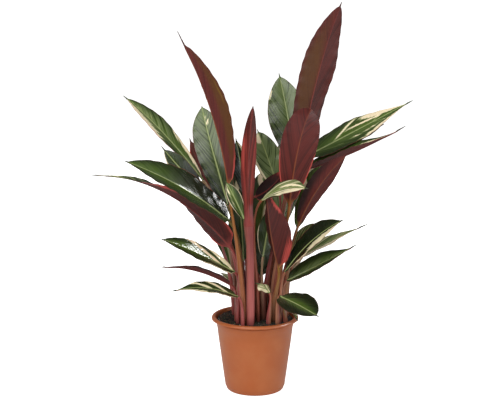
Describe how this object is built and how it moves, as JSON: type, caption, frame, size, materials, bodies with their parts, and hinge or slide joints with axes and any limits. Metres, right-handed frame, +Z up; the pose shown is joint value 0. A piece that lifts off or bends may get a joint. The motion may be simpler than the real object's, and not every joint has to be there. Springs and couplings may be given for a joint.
{
  "type": "potted calathea",
  "caption": "Potted calathea: a clump of long-stalked striped green leaves with burgundy undersides, in a tapered terracotta-coloured plastic nursery pot full of soil.",
  "frame": {"origin": "centre of the pot's underside, on the surface it stands on", "axes": "+Z up out of the pot, -Y towards the viewer (the plant's front), +X to the viewer's right"},
  "size_m": [0.6266, 0.38, 0.7563],
  "materials": {
    "pot_plastic": "satin",
    "potting_soil": "matte",
    "leaf": "satin"
  },
  "bodies": {
    "root": {"pot": "pot_plastic", "soil": "potting_soil", "leaf_tall_left": "leaf", "leaf_tall_right": "leaf", "leaf_broad_right": "leaf", "leaf_green_right": "leaf", "leaf_green_left": "leaf", "leaf_young_spear": "leaf", "leaf_grey_middle": "leaf", "leaf_left_high": "leaf", "leaf_left_red_edge": "leaf", "leaf_left_small": "leaf", "leaf_left_glossy": "leaf", "leaf_left_droop": "leaf", "leaf_left_pink": "leaf", "leaf_left_thin": "leaf", "leaf_left_low": "leaf", "leaf_middle_striped": "leaf", "leaf_middle_cream": "leaf", "leaf_front_striped": "leaf", "leaf_front_dark": "leaf", "leaf_front_curled": "leaf", "leaf_middle_glossy": "leaf", "leaf_middle_purple": "leaf", "leaf_middle_dark": "leaf", "leaf_inner_left": "leaf", "leaf_right_high": "leaf", "leaf_right_behind": "leaf", "leaf_right_folded": "leaf", "leaf_right_dark": "leaf", "leaf_right_green": "leaf", "leaf_right_striped": "leaf", "leaf_right_narrow": "leaf", "leaf_right_low": "leaf", "leaf_right_oval": "leaf", "leaf_right_dried": "leaf", "leaf_back_left_tall": "leaf", "leaf_back_right_tall": "leaf", "leaf_back_middle": "leaf", "leaf_back_left": "leaf", "leaf_back_right": "leaf", "leaf_back_left_low": "leaf", "leaf_back_right_low": "leaf", "leaf_back_middle_low": "leaf", "leaf_back_small": "leaf"}
  },
  "joints": []
}
